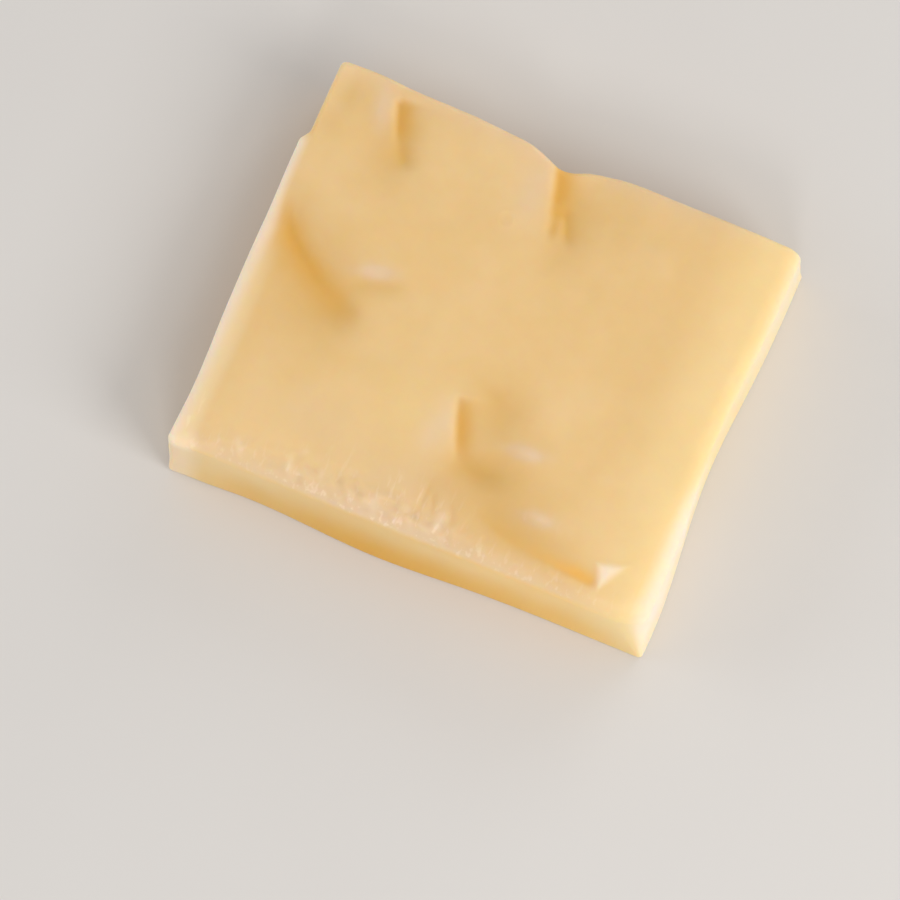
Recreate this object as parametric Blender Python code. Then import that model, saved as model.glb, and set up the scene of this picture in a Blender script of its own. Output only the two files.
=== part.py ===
"""A block of mild cheddar, cut by hand and soft enough to show the folds of its curd.

The block is one solid that lies on its broad face. Its origin is at the middle of its underside,
+X runs along its longer edge, -Y is its front and +Z is up. Sizes are written in millimetres, and
the mesh is made in metres.
"""

import math
from dataclasses import dataclass

import bmesh
import bpy
import numpy as np

MM = 0.001

# Main sizes: the level part of the top, and its height over the underside
LENGTH = 100.0
WIDTH = 84.0
THICKNESS = 22.8

# Fineness of the mesh before and after it is thinned
CELL = 0.5
EDGE_ROWS = 5
WALL_ROWS = 12
BASE_ROWS = 3
PATH_STEPS = 8
TRIANGLES = 11400
SHARP_ANGLE = 50.0

# The wall between the top and the underside, and how the underside turns up into it
WALL_HOLLOW = 0.4
WALL_RIPPLE = 0.18
RIPPLES = 15
BASE_REACH = 0.9
BASE_FALL = 0.8
BASE_CORNER = 1.7
LEVEL_SNAP = 0.05

# The corner of the underside that has lifted into a thin lip
LIP_AT = (-51.0, -43.5)
LIP_SPREAD = 7.0
LIP_REACH = 1.6
LIP_FALL = 1.0

# The top falls away towards the right-hand edge
SHOULDER_START = 33.0
SHOULDER_END = 53.0
SHOULDER_FALL = 0.9

# How round the bottoms of the folds are, and how fast their flanks level out
CREASE_ROUNDING = 0.4
CREASE_POWER = 1.3

CHEESE_COLOUR = (0.806, 0.535, 0.236, 1.0)
CHEESE_ROUGHNESS = 0.42


def smooth(start, end, value):
    """A soft step from 0 at start to 1 at end."""
    share = np.clip((value - start) / (end - start), 0.0, 1.0)
    return share * share * (3.0 - 2.0 * share)


def mix(first, second, share):
    """The value that lies a given share of the way from first to second."""
    return first + (second - first) * share


def curve_through(points):
    """A smooth curve through the points, as closely spaced points of its own."""
    points = np.array(points)
    padded = np.vstack([2.0 * points[0] - points[1], points, 2.0 * points[-1] - points[-2]])
    shares = np.arange(PATH_STEPS)[:, None] / PATH_STEPS
    spans = []
    for before, start, end, after in zip(padded, padded[1:], padded[2:], padded[3:]):
        pull = end - before
        bend = 2.0 * before - 5.0 * start + 4.0 * end - after
        twist = 3.0 * start - before - 3.0 * end + after
        spans.append(start + 0.5 * shares * (pull + shares * (bend + shares * twist)))
    return np.vstack(spans + [points[-1:]])


@dataclass(frozen=True)
class Bow:
    """A shallow bow in one side: the middle of it, its half length and how far it comes out."""

    at: float
    half_length: float
    out: float

    def offset(self, along):
        return self.out * np.exp(-(((along - self.at) / self.half_length) ** 2))


@dataclass(frozen=True)
class Ledge:
    """A jog in one side, past which the side stands out and then comes slowly back."""

    at: float = 0.0
    run: float = 1.0
    out: float = 0.0
    fade_length: float = 1.0

    def share(self, along):
        return 1.0 - smooth(self.at - self.run, self.at + self.run, along)

    def offset(self, along):
        return self.out * self.share(along) * (1.0 - (self.at - along) / self.fade_length)


@dataclass(frozen=True)
class Side:
    """One side of an outline, as a distance from the middle of the block."""

    distance: float
    slope: float = 0.0
    bows: tuple = ()
    ledge: Ledge = Ledge()

    def out(self, along):
        bowed = sum(bow.offset(along) for bow in self.bows)
        return self.distance + self.slope * along + bowed + self.ledge.offset(along)


@dataclass(frozen=True)
class Edge:
    """How an edge of the top is rounded: its reach across the top, and its fall down the wall."""

    reach: float
    fall: float


@dataclass(frozen=True)
class Swell:
    """A soft rise of the top, or a hollow where its height is negative."""

    at: tuple
    radii: tuple
    height: float
    turn: float = 0.0

    def rise(self, x, y):
        turn = math.radians(self.turn)
        dx = x - self.at[0]
        dy = y - self.at[1]
        along = (dx * math.cos(turn) + dy * math.sin(turn)) / self.radii[0]
        across = (dy * math.cos(turn) - dx * math.sin(turn)) / self.radii[1]
        return self.height * np.exp(-(along * along) - across * across)


@dataclass(frozen=True)
class Fold:
    """A crease of the top. Each point of its path is x, y and depth.

    The widths are those of its left and right flanks, for someone who follows the path.
    """

    path: tuple
    left: float
    right: float

    def rise(self, x, y):
        nearest = np.full(x.shape, np.inf)
        depth = np.zeros(x.shape)
        leftward = np.zeros(x.shape)
        curve = curve_through(self.path)
        for start, end in zip(curve, curve[1:]):
            run_x, run_y, _ = end - start
            length = math.hypot(run_x, run_y)
            share = ((x - start[0]) * run_x + (y - start[1]) * run_y) / (length * length)
            share = np.clip(share, 0.0, 1.0)
            dx = x - start[0] - run_x * share
            dy = y - start[1] - run_y * share
            distance = np.hypot(dx, dy) + 1e-9
            nearer = distance < nearest
            nearest = np.where(nearer, distance, nearest)
            depth = np.where(nearer, mix(start[2], end[2], share), depth)
            side = (run_x * dy - run_y * dx) / (length * distance)
            leftward = np.where(nearer, side, leftward)
        width = mix(self.right, self.left, 0.5 + 0.5 * leftward)
        away = (np.hypot(nearest, CREASE_ROUNDING) - CREASE_ROUNDING) / width
        return -depth * np.exp(-(away**CREASE_POWER))


@dataclass(frozen=True)
class Flake:
    """A small three-cornered flake that stands a little proud of the top."""

    corners: tuple
    height: float
    softness: float

    def rise(self, x, y):
        inside = np.full(x.shape, self.softness)
        for (ax, ay), (bx, by) in zip(self.corners, self.corners[1:] + self.corners[:1]):
            length = math.hypot(bx - ax, by - ay)
            inside = np.minimum(inside, ((bx - ax) * (y - ay) - (by - ay) * (x - ax)) / length)
        return self.height * smooth(0.0, self.softness, inside)


@dataclass(frozen=True)
class Wave:
    """One of the long waves that keep the top from being flat."""

    height: float
    length: float
    heading: float
    phase: float

    def rise(self, x, y):
        heading = math.radians(self.heading)
        travel = x * math.cos(heading) + y * math.sin(heading)
        return self.height * np.sin(2.0 * math.pi * travel / self.length + self.phase)


# The outline where the wall meets the rounded top edges
TOP_LEFT = Side(
    50.1,
    bows=(Bow(-46.0, 10.0, 1.1), Bow(-8.0, 24.0, 0.5)),
    ledge=Ledge(at=25.7, run=1.3, out=1.6, fade_length=75.0),
)
TOP_RIGHT = Side(51.3, slope=0.005, bows=(Bow(-2.0, 20.0, -1.5),))
TOP_FRONT = Side(42.8, bows=(Bow(-8.0, 20.0, 0.3),))
TOP_BACK = Side(42.6, slope=-0.016, bows=(Bow(-0.5, 7.0, -2.9), Bow(-44.0, 8.0, 0.5)))

# The outline of the underside
BASE_LEFT = Side(
    52.0,
    bows=(Bow(-44.0, 6.0, 0.5),),
    ledge=Ledge(at=25.7, run=2.5, out=0.6, fade_length=90.0),
)
BASE_RIGHT = Side(51.8, slope=0.006, bows=(Bow(-2.0, 20.0, -1.8),))
BASE_FRONT = Side(43.7, slope=0.004, bows=(Bow(-6.0, 19.0, 1.4),))
BASE_BACK = Side(44.2, slope=-0.008, bows=(Bow(-0.5, 9.0, -1.5),))

# The rounding of the top edges. The left one is crisp at both corners and droops in between
LEFT_CRISP = Edge(1.4, 1.2)
LEFT_DROOP = Edge(4.8, 2.2)
LEFT_DROOP_START = -46.0
LEFT_DROOP_FULL = -30.0
RIGHT_EDGE = Edge(2.2, 1.9)
FRONT_EDGE = Edge(3.1, 2.2)
BACK_EDGE = Edge(1.3, 1.1)

# The folds, from the back left corner to the front right one
BACK_LEFT_NICK = Fold(
    path=(
        (-37.2, 43.0, 0.3),
        (-36.1, 40.2, 1.8),
        (-35.0, 36.8, 2.4),
        (-33.5, 33.0, 1.3),
        (-32.8, 31.0, 0.2),
    ),
    left=1.9,
    right=1.0,
)
BACK_LEFT_TAIL = Fold(
    path=((-31.4, 33.0, 0.2), (-30.2, 30.0, 0.8), (-28.6, 26.0, 0.1)), left=1.2, right=2.2
)
BACK_CRACK = Fold(
    path=(
        (-0.6, 42.5, 1.6),
        (0.3, 38.5, 2.4),
        (1.4, 34.5, 2.6),
        (2.5, 30.0, 1.5),
        (3.1, 26.5, 0.6),
        (3.5, 24.0, 0.0),
    ),
    left=2.4,
    right=0.9,
)
BACK_CRACK_BRANCH = Fold(
    path=((3.6, 32.5, 0.2), (4.9, 29.0, 0.8), (6.8, 23.0, 0.1)), left=1.3, right=0.9
)
LEFT_DENT = Fold(
    path=(
        (-51.5, 11.5, 0.2),
        (-48.4, 8.0, 1.5),
        (-45.4, 4.4, 2.3),
        (-41.0, 0.3, 2.4),
        (-35.0, -3.4, 1.9),
        (-29.8, -6.4, 0.8),
        (-27.6, -7.8, 0.1),
    ),
    left=2.6,
    right=4.2,
)
LEFT_DENT_BRANCH = Fold(
    path=((-31.0, -0.8, 0.2), (-26.5, 1.4, 0.6), (-21.5, 2.8, 0.4), (-17.0, 4.8, 0.0)),
    left=2.2,
    right=2.4,
)
LOBE_SLIT = Fold(
    path=(
        (0.0, -10.5, 0.1),
        (0.6, -13.4, 1.8),
        (1.6, -17.0, 2.6),
        (2.8, -20.5, 2.5),
        (3.8, -23.6, 1.2),
        (4.5, -26.0, 0.1),
    ),
    left=2.0,
    right=0.9,
)
LOBE_VALLEY = Fold(
    path=((-4.0, -5.5, 0.0), (1.0, -8.2, 0.6), (7.0, -9.8, 0.8), (14.0, -11.0, 0.3), (18.0, -12.0, 0.0)),
    left=4.0,
    right=2.6,
)
FRONT_GROOVE = Fold(
    path=(
        (10.0, -28.0, 0.2),
        (13.5, -31.5, 0.6),
        (20.5, -33.8, 0.9),
        (29.0, -36.4, 1.2),
        (36.0, -37.8, 2.0),
        (38.6, -38.3, 1.6),
    ),
    left=2.6,
    right=1.6,
)
FOLDS = (
    BACK_LEFT_NICK,
    BACK_LEFT_TAIL,
    BACK_CRACK,
    BACK_CRACK_BRANCH,
    LEFT_DENT,
    LEFT_DENT_BRANCH,
    LOBE_SLIT,
    LOBE_VALLEY,
    FRONT_GROOVE,
)

# The rounded masses between the folds, and the hollows beside them
NICK_RIDGE = Swell(at=(-38.8, 36.0), radii=(2.4, 7.0), height=0.45, turn=20.0)
LEFT_MASS = Swell(at=(-30.0, 13.0), radii=(16.0, 12.0), height=0.7)
DENT_SHOULDER = Swell(at=(-26.5, 6.0), radii=(8.0, 4.0), height=0.35, turn=12.0)
NICK_HOLLOW = Swell(at=(-33.0, 29.5), radii=(3.2, 3.6), height=-0.6)
CORNER_HOLLOW = Swell(at=(-49.0, 34.5), radii=(3.2, 9.0), height=-0.5)
LEFT_FLAT = Swell(at=(-41.0, -9.0), radii=(10.0, 9.0), height=-0.35)
DENT_END = Swell(at=(-30.5, -5.5), radii=(3.6, 3.0), height=-0.5)
CRACK_MASS = Swell(at=(-5.5, 32.0), radii=(8.0, 14.0), height=0.8)
BACK_SAG = Swell(at=(7.5, 42.0), radii=(9.0, 6.5), height=-0.8)
BACK_DROOP = Swell(at=(28.0, 44.0), radii=(20.0, 4.5), height=-0.8)
LOBE = Swell(at=(-7.0, -19.5), radii=(10.5, 9.5), height=1.0)
SLIT_HOLLOW = Swell(at=(4.0, -16.5), radii=(5.5, 6.0), height=-0.6)
LOBE_HOLLOW = Swell(at=(7.4, -24.8), radii=(4.8, 3.0), height=-1.4, turn=-10.0)
HOLLOW_SHOULDER = Swell(at=(14.5, -16.5), radii=(7.0, 4.2), height=0.6, turn=4.0)
GROOVE_SHOULDER = Swell(at=(24.0, -29.0), radii=(9.0, 4.0), height=0.5, turn=-4.0)
SWELLS = (
    NICK_RIDGE,
    NICK_HOLLOW,
    CORNER_HOLLOW,
    LEFT_MASS,
    DENT_SHOULDER,
    DENT_END,
    LEFT_FLAT,
    CRACK_MASS,
    BACK_SAG,
    BACK_DROOP,
    LOBE,
    SLIT_HOLLOW,
    LOBE_HOLLOW,
    HOLLOW_SHOULDER,
    GROOVE_SHOULDER,
)

GROOVE_FLAKE = Flake(corners=((39.6, -39.2), (43.8, -32.8), (38.2, -34.2)), height=0.5, softness=1.1)

WAVES = (
    Wave(height=0.14, length=41.0, heading=28.0, phase=0.6),
    Wave(height=0.10, length=29.0, heading=-47.0, phase=2.1),
    Wave(height=0.06, length=17.0, heading=81.0, phase=4.0),
)


def clear_scene():
    """Remove whatever the scene already holds."""
    for old in list(bpy.data.objects):
        bpy.data.objects.remove(old, do_unlink=True)


def relief(x, y):
    """Height of the curd over the level part of the top."""
    rise = -SHOULDER_FALL * smooth(SHOULDER_START, SHOULDER_END, x)
    for feature in FOLDS + SWELLS + WAVES + (GROOVE_FLAKE,):
        rise = rise + feature.rise(x, y)
    return rise


def left_edge(y):
    """Reach and fall of the left-hand edge's rounding, which change along it."""
    droop = TOP_LEFT.ledge.share(y) * smooth(LEFT_DROOP_START, LEFT_DROOP_FULL, y)
    reach = mix(LEFT_CRISP.reach, LEFT_DROOP.reach, droop)
    fall = mix(LEFT_CRISP.fall, LEFT_DROOP.fall, droop)
    return reach, fall


def lattice_lines(span):
    """Lines across the block: their places on the level part, and their turns round an edge."""
    quarter = np.radians(90.0 * np.arange(EDGE_ROWS) / EDGE_ROWS)
    cells = round(span / CELL)
    inner = np.linspace(-1.0, 1.0, cells + 1)
    ends = np.ones(EDGE_ROWS)
    places = np.concatenate([-ends, inner, ends])
    turns = np.concatenate([-np.cos(quarter), 0.0 * inner, np.cos(quarter[::-1])])
    return places, turns


def lattice():
    """Places and turns of every point of the lattice, with its square corners bent round."""
    places_x, turns_x = lattice_lines(LENGTH)
    places_y, turns_y = lattice_lines(WIDTH)
    place_x, place_y = np.meshgrid(places_x, places_y, indexing="ij")
    turn_x, turn_y = np.meshgrid(turns_x, turns_y, indexing="ij")
    round_x = turn_x * np.sqrt(1.0 - turn_y * turn_y / 2.0)
    round_y = turn_y * np.sqrt(1.0 - turn_x * turn_x / 2.0)
    return place_x, place_y, round_x, round_y


def across(place, turn, low, high, low_reach, high_reach):
    """Position along one axis between the two sides, edges included."""
    inner = mix(low_reach - low, high - high_reach, (place + 1.0) / 2.0)
    return inner + turn * np.where(turn > 0.0, high_reach, low_reach)


def top_points(place_x, place_y, turn_x, turn_y):
    """Every point of the top, edges included, as an array of columns of points."""
    level_x = place_x * LENGTH / 2.0
    level_y = place_y * WIDTH / 2.0
    left_reach, left_fall = left_edge(level_y)
    left, right = TOP_LEFT.out(level_y), TOP_RIGHT.out(level_y)
    front, back = TOP_FRONT.out(level_x), TOP_BACK.out(level_x)
    x = across(place_x, turn_x, left, right, left_reach, RIGHT_EDGE.reach)
    y = across(place_y, turn_y, front, back, FRONT_EDGE.reach, BACK_EDGE.reach)
    fall_x = np.where(turn_x > 0.0, RIGHT_EDGE.fall, left_fall)
    fall_y = np.where(turn_y > 0.0, BACK_EDGE.fall, FRONT_EDGE.fall)
    share_x = turn_x**2 / np.maximum(turn_x**2 + turn_y**2, 1e-9)
    turned = np.minimum(turn_x**2 + turn_y**2, 1.0)
    drop = mix(fall_y, fall_x, share_x) * (1.0 - np.sqrt(1.0 - turned))
    return np.stack([x, y, THICKNESS + relief(x, y) - drop], axis=-1)


def base_points(place_x, place_y, turn_x, turn_y):
    """The outline of the underside, before it turns up into the wall, for the same lattice."""
    level_x = place_x * LENGTH / 2.0
    level_y = place_y * WIDTH / 2.0
    left, right = BASE_LEFT.out(level_y), BASE_RIGHT.out(level_y)
    front, back = BASE_FRONT.out(level_x), BASE_BACK.out(level_x)
    x = across(place_x, turn_x, left, right, BASE_CORNER, BASE_CORNER)
    y = across(place_y, turn_y, front, back, BASE_CORNER, BASE_CORNER)
    return np.stack([x, y], axis=-1)


def rim_of(columns):
    """The outer points of a lattice, anticlockwise from its front left corner."""
    front = [column[0] for column in columns[:-1]]
    right = list(columns[-1][:-1])
    back = [column[-1] for column in columns[:0:-1]]
    left = list(columns[0][:0:-1])
    return front + right + back + left


def lip_share(plan):
    """How much of the lifted lip each place on the underside's edge has."""
    distance = np.hypot(plan[:, 0] - LIP_AT[0], plan[:, 1] - LIP_AT[1])
    return np.exp(-((distance / LIP_SPREAD) ** 2))


def inward(plan, distance):
    """Move points of the wall towards the middle of the block."""
    shrink = 1.0 - distance / np.hypot(plan[:, 0], plan[:, 1])
    return plan * shrink[:, None]


def wall_ring(top, base, share):
    """One ring of the wall, a share of the way down from the top's rim to the underside's."""
    plan = mix(top[:, :2], base, share)
    ripple = np.sin(RIPPLES * np.arctan2(plan[:, 1], plan[:, 0]) + 3.0 * share)
    plan = inward(plan, math.sin(math.pi * share) * (WALL_HOLLOW + WALL_RIPPLE * ripple))
    height = mix(top[:, 2], BASE_FALL + LIP_FALL * lip_share(base), share)
    return np.column_stack([plan, height])


def turn_up_ring(base, turn):
    """One ring of the curve between the wall and the underside, turn degrees from the wall."""
    lip = lip_share(base)
    angle = math.radians(turn)
    plan = inward(base, (BASE_REACH + LIP_REACH * lip) * (1.0 - math.cos(angle)))
    height = (BASE_FALL + LIP_FALL * lip) * (1.0 - math.sin(angle))
    return np.column_stack([plan, height])


def skin_down(mesh, above, points):
    """Add a ring of points and fill the strip between it and the ring above."""
    below = [mesh.verts.new(point * MM) for point in points]
    for place, upper in enumerate(above):
        mesh.faces.new((upper, above[place - 1], below[place - 1], below[place]))
    return below


def build_mesh():
    """The whole skin of the block: its top, its wall and its underside."""
    mesh = bmesh.new()
    grid = lattice()
    points = top_points(*grid)
    columns = [[mesh.verts.new(point * MM) for point in column] for column in points]
    for left, right in zip(columns, columns[1:]):
        for row in range(len(left) - 1):
            mesh.faces.new((left[row], right[row], right[row + 1], left[row + 1]))

    top_rim = np.array(rim_of(points))
    base_rim = np.array(rim_of(base_points(*grid)))
    ring = rim_of(columns)
    for step in range(1, WALL_ROWS + 1):
        ring = skin_down(mesh, ring, wall_ring(top_rim, base_rim, step / WALL_ROWS))
    for step in range(1, BASE_ROWS + 1):
        ring = skin_down(mesh, ring, turn_up_ring(base_rim, 90.0 * step / BASE_ROWS))

    bmesh.ops.contextual_create(mesh, geom=ring)
    bmesh.ops.triangulate(mesh, faces=mesh.faces)
    bmesh.ops.recalc_face_normals(mesh, faces=mesh.faces)
    return mesh


def cheese_material():
    """The pale, faintly glossy cheese."""
    material = bpy.data.materials.new("cheddar")
    material.use_nodes = True
    shader = material.node_tree.nodes["Principled BSDF"]
    shader.inputs["Base Color"].default_value = CHEESE_COLOUR
    shader.inputs["Roughness"].default_value = CHEESE_ROUGHNESS
    shader.inputs["Metallic"].default_value = 0.0
    return material


def thin_out(block):
    """Merge small triangles where the skin is level, so that the folds keep theirs."""
    thinner = block.modifiers.new("thinner", "DECIMATE")
    thinner.ratio = TRIANGLES / len(block.data.polygons)
    bpy.context.view_layer.objects.active = block
    bpy.ops.object.modifier_apply(modifier=thinner.name)


def settle(mesh):
    """Make the underside level, and put the origin under the middle of the block."""
    places = np.array([vertex.co for vertex in mesh.vertices])
    places[:, :2] -= (places[:, :2].min(axis=0) + places[:, :2].max(axis=0)) / 2.0
    places[places[:, 2] < LEVEL_SNAP * MM, 2] = 0.0
    mesh.vertices.foreach_set("co", places.ravel())
    mesh.update()


def main():
    clear_scene()
    data = bpy.data.meshes.new("cheddar_block")
    skin = build_mesh()
    skin.to_mesh(data)
    skin.free()
    data.materials.append(cheese_material())
    block = bpy.data.objects.new("cheddar_block", data)
    bpy.context.collection.objects.link(block)
    thin_out(block)
    settle(block.data)
    block.data.shade_smooth()
    block.data.set_sharp_from_angle(angle=math.radians(SHARP_ANGLE))


main()
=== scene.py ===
"""A block of mild cheddar, cut by hand and soft enough to show the folds of its curd.

Sizes are written in millimetres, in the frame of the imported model, and become metres as a mesh
takes its shape. +X runs along the block's longer edge, -Y is its front and +Z is up.
"""

import logging
import math
from dataclasses import dataclass
from enum import Enum
from typing import Any, Mapping, Sequence, Union

import bmesh
import bpy
import numpy as np
from mathutils import Matrix, Vector


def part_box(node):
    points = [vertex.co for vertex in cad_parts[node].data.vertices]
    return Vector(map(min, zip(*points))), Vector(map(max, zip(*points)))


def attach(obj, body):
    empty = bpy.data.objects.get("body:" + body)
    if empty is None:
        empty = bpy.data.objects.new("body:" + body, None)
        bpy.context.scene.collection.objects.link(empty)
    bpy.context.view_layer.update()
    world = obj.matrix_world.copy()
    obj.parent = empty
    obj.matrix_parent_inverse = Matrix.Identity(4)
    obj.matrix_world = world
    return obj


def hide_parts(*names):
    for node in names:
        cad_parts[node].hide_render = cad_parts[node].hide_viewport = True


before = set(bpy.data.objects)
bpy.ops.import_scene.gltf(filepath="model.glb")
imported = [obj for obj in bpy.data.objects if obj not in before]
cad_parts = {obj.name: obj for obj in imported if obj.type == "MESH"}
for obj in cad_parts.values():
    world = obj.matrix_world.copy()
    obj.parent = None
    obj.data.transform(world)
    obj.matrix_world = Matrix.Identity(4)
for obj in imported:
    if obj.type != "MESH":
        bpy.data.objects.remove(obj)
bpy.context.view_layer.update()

MM = 0.001
TINY = 1e-9
NOISE_ROUGHNESS = 0.5
Array = np.ndarray
Colour = tuple[float, float, float, float]
Pair = tuple[Any, Any]
Point = tuple[float, float]
PathPoint = tuple[float, float, float]

log = logging.getLogger("cheddar")


@dataclass(frozen=True)
class Ramp:
    """A soft step from 0 at its start to its height at its end, which may lie below its start."""

    start: float
    end: float
    height: float = 1.0

    def __call__(self, value: Array) -> Array:
        """The height of the step at each value."""
        share = np.clip((value - self.start) / (self.end - self.start), 0.0, 1.0)
        return self.height * (share * share * (3.0 - 2.0 * share))


def mix(first: Any, second: Any, share: Any) -> Any:
    """The value that lies a given share of the way from first to second."""
    return first + (second - first) * share


def curve_through(points: Sequence[Sequence[float]], steps: int = 8) -> Array:
    """A smooth curve through points, as a Catmull-Rom spline.

    Args:
        points: The points that it passes through, in order, each with a depth last.
        steps: How many stretches it has between two of them.

    Returns:
        The closely spaced points of the curve, whose depth levels out at both ends.
    """
    knots = np.array(points)
    padded = np.vstack([2.0 * knots[0] - knots[1], knots, 2.0 * knots[-1] - knots[-2]])
    padded[0, -1] = knots[1, -1]
    padded[-1, -1] = knots[-2, -1]
    shares = np.arange(steps)[:, None] / steps
    spans = []
    for before, start, end, after in zip(padded, padded[1:], padded[2:], padded[3:]):
        pull = end - before
        bend = 2.0 * before - 5.0 * start + 4.0 * end - after
        twist = 3.0 * start - before - 3.0 * end + after
        spans.append(start + 0.5 * shares * (pull + shares * (bend + shares * twist)))
    return np.vstack(spans + [knots[-1:]])


def from_screen(red: int, green: int, blue: int) -> Colour:
    """A colour for the shader.

    Args:
        red: Its red on a screen, 0 to 255.
        green: Its green.
        blue: Its blue.

    Returns:
        The same colour in linear parts of 1, and opaque.
    """
    parts = [part / 255.0 for part in (red, green, blue)]
    parts = [part / 12.92 if part < 0.04045 else ((part + 0.055) / 1.055) ** 2.4 for part in parts]
    return parts[0], parts[1], parts[2], 1.0


def turned(x: Array, y: Array, degrees: float, at: Point = (0.0, 0.0)) -> tuple[Array, Array]:
    """Places as they are seen by someone who stands at a point and faces one way.

    Args:
        x: The places along the block.
        y: The places across it.
        degrees: The way faced, counted from +X towards +Y.
        at: The point.

    Returns:
        How far ahead each place is, and how far to the left.
    """
    dx, dy = x - at[0], y - at[1]
    cosine, sine = math.cos(math.radians(degrees)), math.sin(math.radians(degrees))
    return dx * cosine + dy * sine, dy * cosine - dx * sine


def direction(azimuth: float, elevation: float) -> Vector:
    """The way from the block to something round it.

    Args:
        azimuth: How far round it is, in degrees, from the front towards the right.
        elevation: How far up it is, in degrees.

    Returns:
        A vector of length 1.
    """
    azimuth, elevation = math.radians(azimuth), math.radians(elevation)
    level = math.cos(elevation)
    return Vector((math.sin(azimuth) * level, -math.cos(azimuth) * level, math.sin(elevation)))


def select_nothing() -> None:
    """Leave no object selected, so that an operator acts on what is added next."""
    bpy.ops.object.select_all(action="DESELECT")


class Mark(Enum):
    """What a point of the skin can carry for the finish, as the name of its attribute."""

    # Painted shade in the folds and wrinkles.
    FOLD_SHADE = "crease"
    # Painted shade in the hollows and beside the folds.
    HOLLOW_SHADE = "hollow"
    # Painted light on the right-hand side, the left rim and the lobe.
    PAINTED_LIGHT = "pale"
    # Painted highlights on the front, back and left rim, raised curd and slopes facing a lamp.
    PAINTED_SHEEN = "painted_sheen"
    # Pale scratches, and painted highlights on the right and left rim, the flake and low ridges.
    GRAZE_AND_HIGHLIGHT = "graze"
    # The painted highlights of the front band, broken into streaks.
    PAINTED_STREAKS = "drawn"
    # Painted shade of the walls, deepest at the bottom.
    WALL_SHADE = "side"
    # Painted light on the right of the front wall and in the folds towards the right.
    PAINTED_GLOW = "painted_glow"
    CUT = "cut"


@dataclass(frozen=True)
class Bow:
    """A shallow bow in one side: the middle of it, its half length and how far it comes out."""

    at: float
    half_length: float
    out: float

    def offset(self, along: Array) -> Array:
        """How far the bow carries the side out at each place along it."""
        return self.out * np.exp(-(((along - self.at) / self.half_length) ** 2))


@dataclass(frozen=True)
class Ledge:
    """A jog in one side, past which the side stands out and then comes slowly back."""

    at: float = 0.0
    run: float = 1.0
    out: float = 0.0
    fade_length: float = 1.0

    def share(self, along: Array) -> Array:
        """How much of the jog each place along the side has."""
        return 1.0 - Ramp(self.at - self.run, self.at + self.run)(along)

    def offset(self, along: Array) -> Array:
        """How far the jog carries the side out at each place along it."""
        return self.out * self.share(along) * (1.0 - (self.at - along) / self.fade_length)


@dataclass(frozen=True)
class Side:
    """One side of an outline, as a distance from the middle of the block."""

    distance: float
    slope: float = 0.0
    bows: tuple[Bow, ...] = ()
    ledge: Ledge = Ledge()

    def out(self, along: Array) -> Array:
        """Distance of the side from the middle, at each place along it."""
        bowed = sum(bow.offset(along) for bow in self.bows)
        return self.distance + self.slope * along + bowed + self.ledge.offset(along)


@dataclass(frozen=True)
class Outline:
    """The four sides of the block at one level."""

    left: Side
    right: Side
    front: Side
    back: Side


@dataclass(frozen=True)
class Edge:
    """How an edge of the top is rounded: its reach across the top, and its fall down the wall."""

    reach: float
    fall: float

    def towards(self, other: "Edge", share: Array) -> tuple[Array, Array]:
        """Reach and fall at each place that has a share of the other rounding."""
        return mix(self.reach, other.reach, share), mix(self.fall, other.fall, share)


class Feature:
    """Something that raises or lowers the top of the block."""

    def rise(self, x: Array, y: Array) -> Array:
        """Its height at each place; every kind of feature gives its own."""
        raise NotImplementedError


@dataclass(frozen=True)
class Swell(Feature):
    """A soft rise of the top, or a hollow where its height is negative."""

    at: Point
    radii: Point
    height: float
    turn: float = 0.0

    def rise(self, x: Array, y: Array) -> Array:
        """Height of the swell at each place."""
        along, across = turned(x, y, self.turn, self.at)
        return self.height * np.exp(-((along / self.radii[0]) ** 2) - (across / self.radii[1]) ** 2)


@dataclass(frozen=True)
class Fold(Feature):
    """A crease of the top, or a thin ridge where its depths are negative.

    Each point of its path is x, y and depth. The widths are those of its left and right flanks,
    for someone who follows the path. The rounding is that of its bottom, and a higher power
    levels its flanks out faster. The shade weight is how strongly it carries painted shade for
    its depth.
    """

    path: tuple[PathPoint, ...]
    left: float
    right: float
    rounding: float = 0.4
    power: float = 1.3
    shade_weight: float = 1.0

    def rise(self, x: Array, y: Array) -> Array:
        """Height of the crease at each place.

        Args:
            x: The places along the block.
            y: The places across it.

        Returns:
            The heights, below 0 in a crease.
        """
        nearest = np.full(x.shape, np.inf)
        depth = np.zeros(x.shape)
        leftward = np.zeros(x.shape)
        curve = curve_through(self.path)
        for start, end in zip(curve, curve[1:]):
            run_x, run_y, _ = end - start
            length = math.hypot(run_x, run_y)
            share = ((x - start[0]) * run_x + (y - start[1]) * run_y) / (length * length)
            share = np.clip(share, 0.0, 1.0)
            dx = x - start[0] - run_x * share
            dy = y - start[1] - run_y * share
            distance = np.hypot(dx, dy) + TINY
            nearer = distance < nearest
            nearest = np.where(nearer, distance, nearest)
            depth = np.where(nearer, mix(start[2], end[2], share), depth)
            side = (run_x * dy - run_y * dx) / (length * distance)
            leftward = np.where(nearer, side, leftward)
        width = mix(self.right, self.left, 0.5 + 0.5 * leftward)
        away = (np.hypot(nearest, self.rounding) - self.rounding) / width
        return -depth * np.exp(-(away**self.power))


@dataclass(frozen=True)
class Flake(Feature):
    """A small three-cornered flake that stands a little proud of the top."""

    corners: tuple[Point, Point, Point]
    height: float
    softness: float

    def rise(self, x: Array, y: Array) -> Array:
        """Height of the flake at each place.

        Args:
            x: The places along the block.
            y: The places across it.

        Returns:
            The heights, which sink to 0 at the flake's edges.
        """
        inside = np.full(x.shape, self.softness)
        for (ax, ay), (bx, by) in zip(self.corners, self.corners[1:] + self.corners[:1]):
            length = math.hypot(bx - ax, by - ay)
            inside = np.minimum(inside, ((bx - ax) * (y - ay) - (by - ay) * (x - ax)) / length)
        return Ramp(0.0, self.softness, self.height)(inside)


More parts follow.
